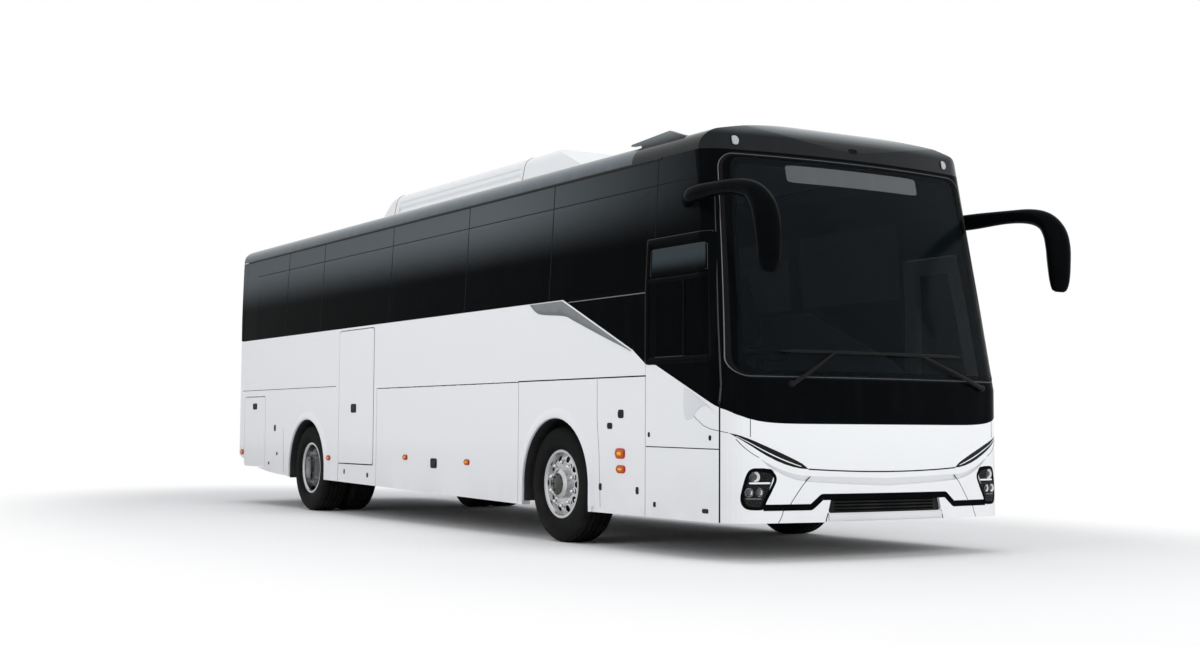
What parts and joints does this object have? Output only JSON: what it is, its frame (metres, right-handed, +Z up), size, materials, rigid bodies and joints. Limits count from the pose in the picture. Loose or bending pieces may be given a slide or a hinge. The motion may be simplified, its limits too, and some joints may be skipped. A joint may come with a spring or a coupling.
{
  "type": "touring coach",
  "caption": "Right-hand-drive touring coach with steered front wheels, twin rear wheels, an outward-swinging entrance door, luggage flaps and service doors.",
  "frame": {"origin": "on the road, below the middle of the overall box, mirrors included", "axes": "+X forward, +Y to the coach's left, +Z up"},
  "size_m": [10.45, 2.76, 3.24],
  "materials": {
    "frame_steel": "painted steel",
    "floor_sheet": "painted sheet",
    "black_gloss": "gloss black",
    "body_white": "white gloss paint",
    "tinted_glass": "tinted",
    "unit_grey": "satin",
    "lamp_clear": "lamp cluster",
    "lamp_red": "lens",
    "lamp_amber": "lens",
    "black_plastic": "moulded",
    "seat_fabric": "woven cover",
    "engine_metal": "plain block",
    "cast": "cast",
    "tyre": "tread rubber",
    "rim": "polished"
  },
  "bodies": {
    "coach_body": {"chassis": "frame_steel", "floor": "floor_sheet", "entrance_steps": "floor_sheet", "wheel_boxes": "frame_steel", "luggage_bay": "floor_sheet", "window_band_right": "black_gloss", "window_band_left": "black_gloss", "belt_panel_right": "body_white", "belt_panel_left": "body_white", "skirt_panels_right": "body_white", "skirt_panels_left": "body_white", "roof": "body_white", "roof_rails": "black_gloss", "front_cap": "black_gloss", "rear_wall": "body_white", "front_panel": "body_white", "front_bumper": "body_white", "front_mask": "black_gloss", "windscreen": "tinted_glass", "side_glass_right": "tinted_glass", "side_glass_left": "tinted_glass", "rear_window": "tinted_glass", "roof_unit": "unit_grey", "front_lamps": "lamp_clear", "rear_lamps": "lamp_red", "side_lamps": "lamp_amber", "grille": "black_plastic", "mirrors": "black_plastic", "wipers": "black_plastic", "dashboard": "black_plastic", "steering_wheel": "black_plastic", "seat_bases": "seat_fabric", "seat_backs": "seat_fabric", "front_axle": "frame_steel", "rear_axle": "frame_steel", "engine": "engine_metal"},
    "knuckle_right": {"knuckle_right": "cast"},
    "knuckle_left": {"knuckle_left": "cast"},
    "tie_rod": {"tie_rod": "frame_steel"},
    "wheel_front_right": {"tyre_front_right": "tyre", "rim_front_right": "rim"},
    "wheel_front_left": {"tyre_front_left": "tyre", "rim_front_left": "rim"},
    "wheels_rear_right": {"tyres_rear_right": "tyre", "rims_rear_right": "rim"},
    "wheels_rear_left": {"tyres_rear_left": "tyre", "rims_rear_left": "rim"},
    "door_arm": {"door_arm": "frame_steel"},
    "passenger_door": {"passenger_door": "body_white", "passenger_door_glass": "tinted_glass"},
    "luggage_flap_right": {"luggage_flap_right": "body_white"},
    "luggage_flap_left": {"luggage_flap_left": "body_white"},
    "engine_lid": {"engine_lid": "body_white"},
    "service_door_right": {"service_door_right": "body_white"},
    "locker_door_right": {"locker_door_right": "body_white"}
  },
  "joints": [
    {"name": "steer_right", "type": "hinge", "parent": "coach_body", "child": "knuckle_right", "pos_m": [2.375, -0.96, 0.4475], "axis": [0, 0, 1], "range_deg": [-38, 38]},
    {"name": "steer_left", "type": "hinge", "parent": "coach_body", "child": "knuckle_left", "pos_m": [2.375, 0.96, 0.4475], "axis": [0, 0, 1], "range_deg": [-38, 38]},
    {"name": "tie_rod_pivot", "type": "hinge", "parent": "knuckle_right", "child": "tie_rod", "pos_m": [2.265, -0.96, 0.3085], "axis": [0, 0, 1], "range_deg": [-38, 38]},
    {"name": "spin_front_right", "type": "hinge", "parent": "knuckle_right", "child": "wheel_front_right", "pos_m": [2.375, -1.08, 0.4475], "axis": [0, 1, 0], "continuous": true},
    {"name": "spin_front_left", "type": "hinge", "parent": "knuckle_left", "child": "wheel_front_left", "pos_m": [2.375, 1.08, 0.4475], "axis": [0, 1, 0], "continuous": true},
    {"name": "spin_rear_right", "type": "hinge", "parent": "coach_body", "child": "wheels_rear_right", "pos_m": [-2.875, -1.08, 0.4475], "axis": [0, 1, 0], "continuous": true},
    {"name": "spin_rear_left", "type": "hinge", "parent": "coach_body", "child": "wheels_rear_left", "pos_m": [-2.875, 1.08, 0.4475], "axis": [0, 1, 0], "continuous": true},
    {"name": "door_arm_swing", "type": "hinge", "parent": "coach_body", "child": "door_arm", "pos_m": [4.38, 1.14, 1.01], "axis": [0, 0, -1], "range_deg": [0, 145]},
    {"name": "door_leaf_pivot", "type": "hinge", "parent": "door_arm", "child": "passenger_door", "pos_m": [3.95, 1.14, 1.01], "axis": [0, 0, -1], "range_deg": [-145, 0]},
    {"name": "luggage_flap_right_lift", "type": "hinge", "parent": "coach_body", "child": "luggage_flap_right", "pos_m": [0.35, -1.25, 1.242], "axis": [-1, 0, 0], "range_deg": [0, 88]},
    {"name": "luggage_flap_left_lift", "type": "hinge", "parent": "coach_body", "child": "luggage_flap_left", "pos_m": [0.35, 1.25, 1.242], "axis": [1, 0, 0], "range_deg": [0, 88]},
    {"name": "engine_lid_lift", "type": "hinge", "parent": "coach_body", "child": "engine_lid", "pos_m": [-5.225, 0, 1.592], "axis": [0, 1, 0], "range_deg": [0, 75]},
    {"name": "service_door_swing", "type": "hinge", "parent": "coach_body", "child": "service_door_right", "pos_m": [-4.175, -1.25, 0.82], "axis": [0, 0, 1], "range_deg": [0, 90]},
    {"name": "locker_door_swing", "type": "hinge", "parent": "coach_body", "child": "locker_door_right", "pos_m": [-1.155, -1.25, 1.18], "axis": [0, 0, 1], "range_deg": [0, 90]}
  ],
  "couplings": [
    {"joint": "steer_left", "follows": "steer_right", "ratio": 1},
    {"joint": "tie_rod_pivot", "follows": "steer_right", "ratio": -1},
    {"joint": "door_leaf_pivot", "follows": "door_arm_swing", "ratio": -1}
  ]
}
